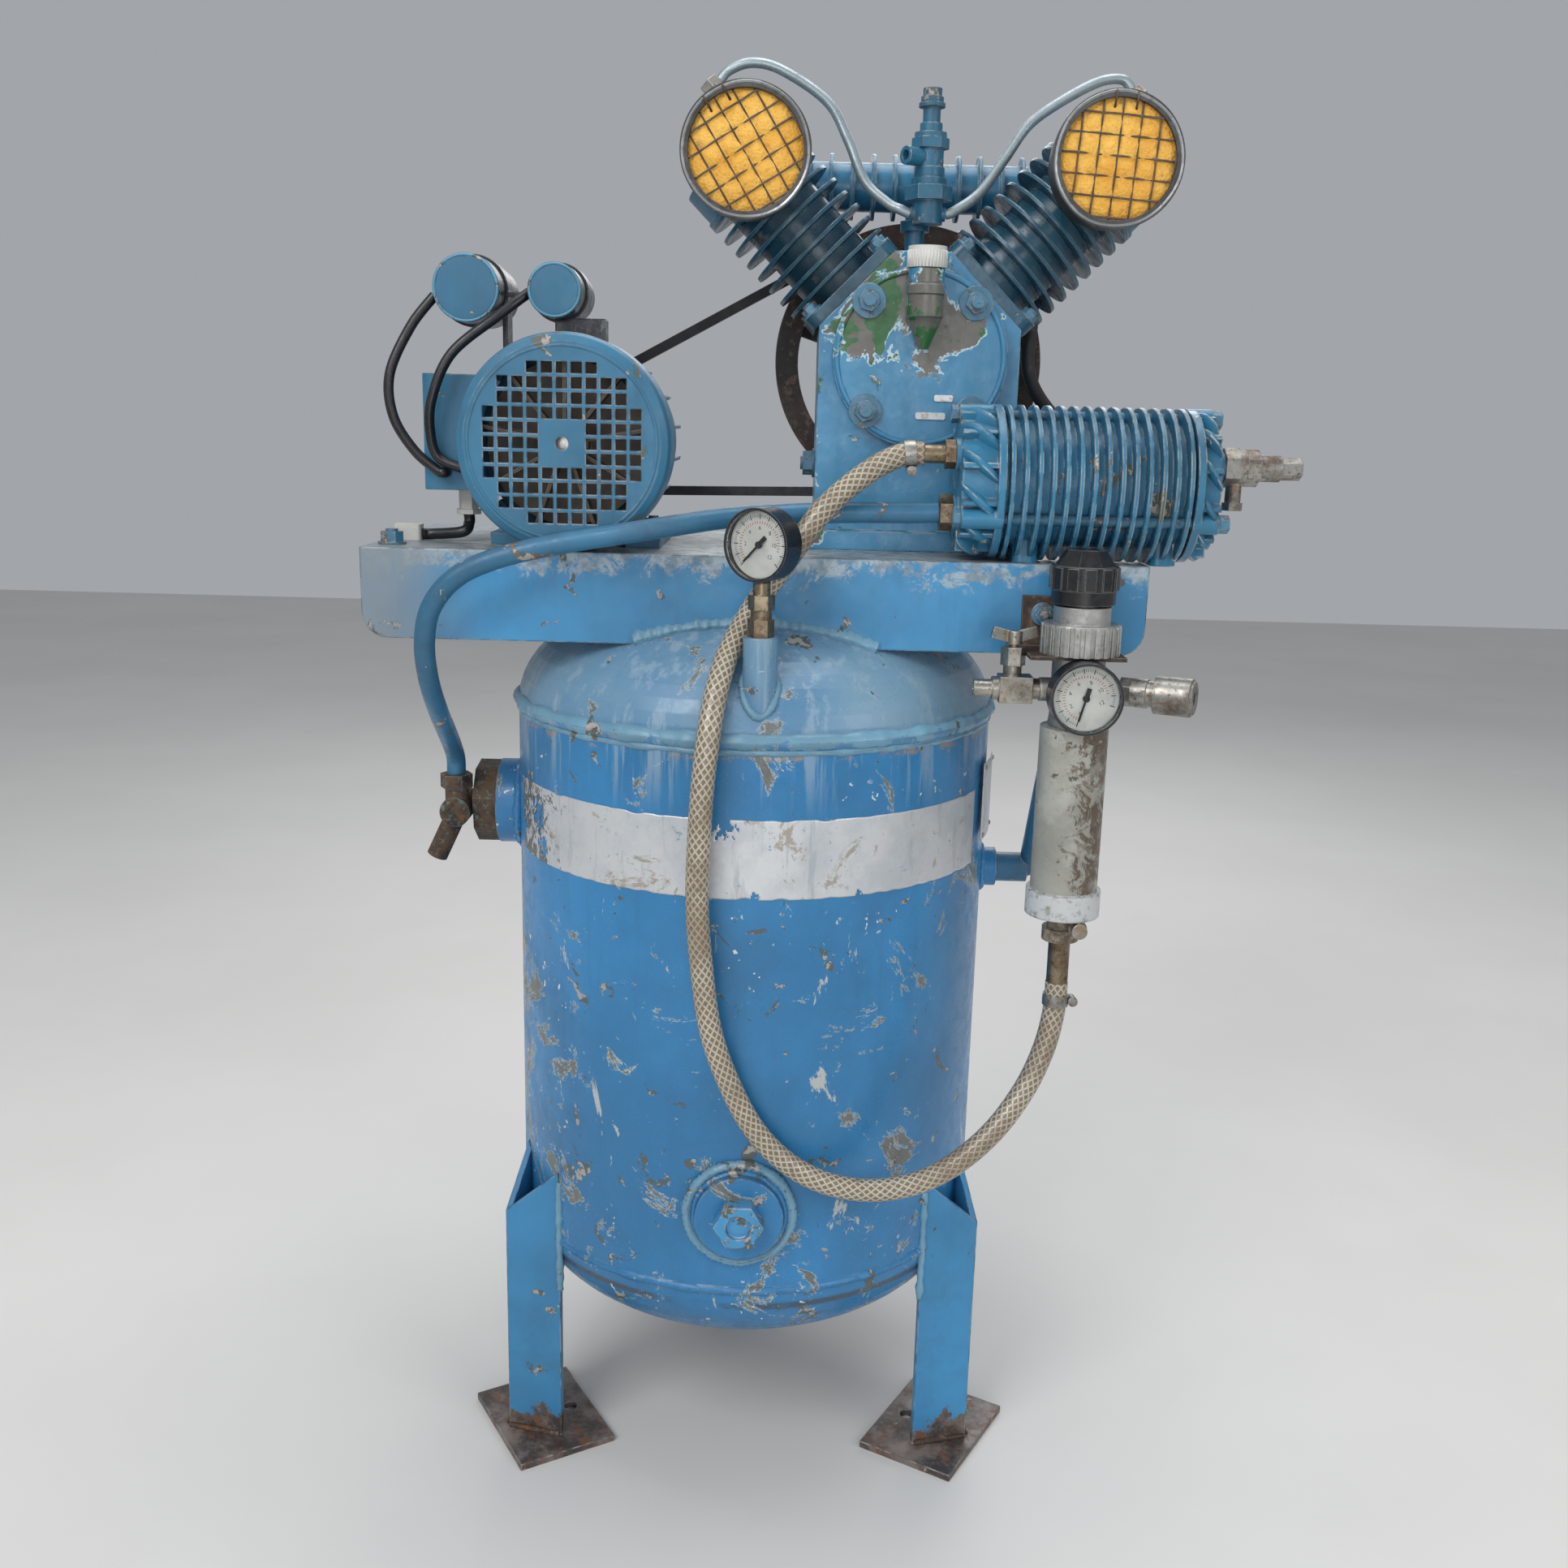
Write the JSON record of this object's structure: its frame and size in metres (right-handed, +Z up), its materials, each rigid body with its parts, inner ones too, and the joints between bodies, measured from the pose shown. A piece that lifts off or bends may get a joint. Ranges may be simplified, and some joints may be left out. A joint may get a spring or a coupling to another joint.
{
  "type": "air compressor",
  "caption": "Stationary workshop air compressor: belt-driven V-twin piston pump and electric motor on a deck over an upright receiver with legs, aftercooler, gauges and filter regulator.",
  "frame": {"origin": "on the floor under the tank's axis, at the centre of the circle through the three foot bolt holes", "axes": "+Z up along the tank's axis, -Y towards the front with the gauges, filters and cowl grille, +X to the right of someone facing the front"},
  "size_m": [0.7195, 0.4748, 1.169],
  "materials": {
    "tank_paint": "worn satin blue paint",
    "frame_paint": "worn satin blue paint over rust",
    "pipe_paint": "brushed blue paint",
    "motor_paint": "satin blue paint",
    "pump_paint": "worn blue paint over green undercoat",
    "fin_paint": "glossy dark blue paint, bright fin edges",
    "cooler_paint": "blue paint worn bright on the fins",
    "rusty_iron": "rusty",
    "bracket_steel": "rusty zinc plate",
    "lamination": "dull laminated steel",
    "bearing_steel": "ground steel",
    "piston_metal": "machined aluminium",
    "fan_plastic": "dusty dark plastic",
    "belt_rubber": "worn black rubber",
    "cable_sheath": "smooth black sheath",
    "gland_plastic": "off-white plastic",
    "cap_plastic": "white plastic with blue overspray",
    "black_metal": "black paint, worn rims",
    "zinc_steel": "dull zinc",
    "filter_foam": "open foam",
    "plated_steel": "tarnished nickel plate",
    "regulator_zinc": "cast zinc",
    "bowl_metal": "grimy grey enamel",
    "knob_plastic": "worn black plastic",
    "brass_fittings": "tarnished brass",
    "braided_hose": "clear hose over tan braid",
    "dial_white": "printed white card",
    "needle_black": "black",
    "lens": "clear window"
  },
  "bodies": {
    "root": {"tank": "tank_paint", "legs": "frame_paint", "deck": "frame_paint", "drain_plug": "tank_paint", "check_valve": "rusty_iron", "discharge_pipe": "pipe_paint", "outlet_pipe": "pipe_paint", "motor_frame": "motor_paint", "stator": "lamination", "end_shield": "motor_paint", "fan_cowl": "motor_paint", "terminal_box": "motor_paint", "cable_fittings": "gland_plastic", "cables": "cable_sheath", "capacitor_bracket": "black_metal", "capacitors": "black_metal", "ball_bearings": "bearing_steel", "drive_belt": "belt_rubber", "crankcase": "pump_paint", "crankcase_cover": "pump_paint", "cylinders": "fin_paint", "heads": "fin_paint", "filter_cans": "zinc_steel", "filter_elements": "filter_foam", "manifold": "cooler_paint", "pilot_valve": "cooler_paint", "unloaders": "zinc_steel", "unloader_tubes": "zinc_steel", "delivery_hose": "belt_rubber", "cooler_barrel": "cooler_paint", "cooler_covers": "cooler_paint", "relief_valve": "plated_steel", "fasteners": "zinc_steel", "pipe_fittings": "brass_fittings", "air_hose": "braided_hose", "gauge_cases": "black_metal", "gauge_dials": "dial_white", "gauge_lenses": "lens", "regulator_bracket": "bracket_steel", "regulator_body": "regulator_zinc", "tap_body": "brass_fittings", "coupler_body": "plated_steel", "filter_bowl": "bowl_metal"},
    "rotor": {"motor_rotor": "lamination", "cooling_fan": "fan_plastic", "motor_pulley": "rusty_iron"},
    "crank": {"crankshaft": "bearing_steel", "flywheel": "rusty_iron"},
    "piston_left": {"piston_left": "piston_metal"},
    "piston_right": {"piston_right": "piston_metal"},
    "rod_left": {"rod_left": "piston_metal"},
    "rod_right": {"rod_right": "piston_metal"},
    "oil_cap": {"oil_cap": "cap_plastic"},
    "relief_ring": {"relief_ring": "plated_steel"},
    "regulator_knob": {"regulator_knob": "knob_plastic"},
    "tap_wing": {"tap_wing": "brass_fittings"},
    "coupler_sleeve": {"coupler_sleeve": "plated_steel"},
    "tank_gauge_needle": {"tank_gauge_needle": "needle_black"},
    "regulator_gauge_needle": {"regulator_gauge_needle": "needle_black"},
    "drain_knob": {"drain_knob": "brass_fittings"}
  },
  "joints": [
    {"name": "crank_spin", "type": "hinge", "parent": "root", "child": "crank", "pos_m": [0.127, 0.1, 0.938], "axis": [0, 1, 0], "continuous": true},
    {"name": "motor_spin", "type": "hinge", "parent": "root", "child": "rotor", "pos_m": [-0.145, 0, 0.866], "axis": [0, 1, 0], "continuous": true},
    {"name": "piston_left_slide", "type": "slide", "parent": "root", "child": "piston_left", "axis": [-0.7071, 0, 0.7071], "range_m": [-0.0495, 0.0105]},
    {"name": "piston_right_slide", "type": "slide", "parent": "root", "child": "piston_right", "axis": [0.7071, 0, 0.7071], "range_m": [-0.0495, 0.0105]},
    {"name": "rod_left_swing", "type": "hinge", "parent": "piston_left", "child": "rod_left", "pos_m": [0.01773, 0.01, 1.04727], "axis": [0, 1, 0], "range_deg": [-3.8, 21.9]},
    {"name": "rod_right_swing", "type": "hinge", "parent": "piston_right", "child": "rod_right", "pos_m": [0.23627, 0.01, 1.04727], "axis": [0, 1, 0], "range_deg": [-21.9, 3.8]},
    {"name": "oil_cap_pull", "type": "slide", "parent": "root", "child": "oil_cap", "axis": [0, 0, 1], "range_m": [0, 0.02]},
    {"name": "relief_pull", "type": "slide", "parent": "root", "child": "relief_ring", "axis": [1, 0, 0], "range_m": [0, 0.003], "stiffness_N_per_m": 900, "springref_m": -0.003},
    {"name": "regulator_turn", "type": "hinge", "parent": "root", "child": "regulator_knob", "pos_m": [0.248, -0.168, 0.76], "axis": [0, 0, 1], "range_deg": [-540, 540]},
    {"name": "tap_turn", "type": "hinge", "parent": "root", "child": "tap_wing", "pos_m": [0.198, -0.168, 0.72], "axis": [0, 0, 1], "range_deg": [0, 540]},
    {"name": "sleeve_pull", "type": "slide", "parent": "root", "child": "coupler_sleeve", "axis": [0.8988, -0.4384, 0], "range_m": [-0.0045, 0], "stiffness_N_per_m": 1500, "springref_m": 0.003},
    {"name": "tank_needle_swing", "type": "hinge", "parent": "root", "child": "tank_gauge_needle", "pos_m": [0.007, -0.186, 0.798], "axis": [0.5, 0.866, 0], "range_deg": [0, 270], "stiffness_Nm_per_rad": 0.003, "springref_deg": -2.86},
    {"name": "regulator_needle_swing", "type": "hinge", "parent": "root", "child": "regulator_gauge_needle", "pos_m": [0.248, -0.2, 0.693], "axis": [0, 1, 0], "range_deg": [0, 270], "stiffness_Nm_per_rad": 0.003, "springref_deg": -2.86},
    {"name": "drain_turn", "type": "hinge", "parent": "root", "child": "drain_knob", "pos_m": [0.257, -0.19, 0.51], "axis": [0, 1, 0], "range_deg": [0, 540]}
  ],
  "couplings": [
    {"joint": "motor_spin", "follows": "crank_spin", "ratio": 2.482}
  ]
}
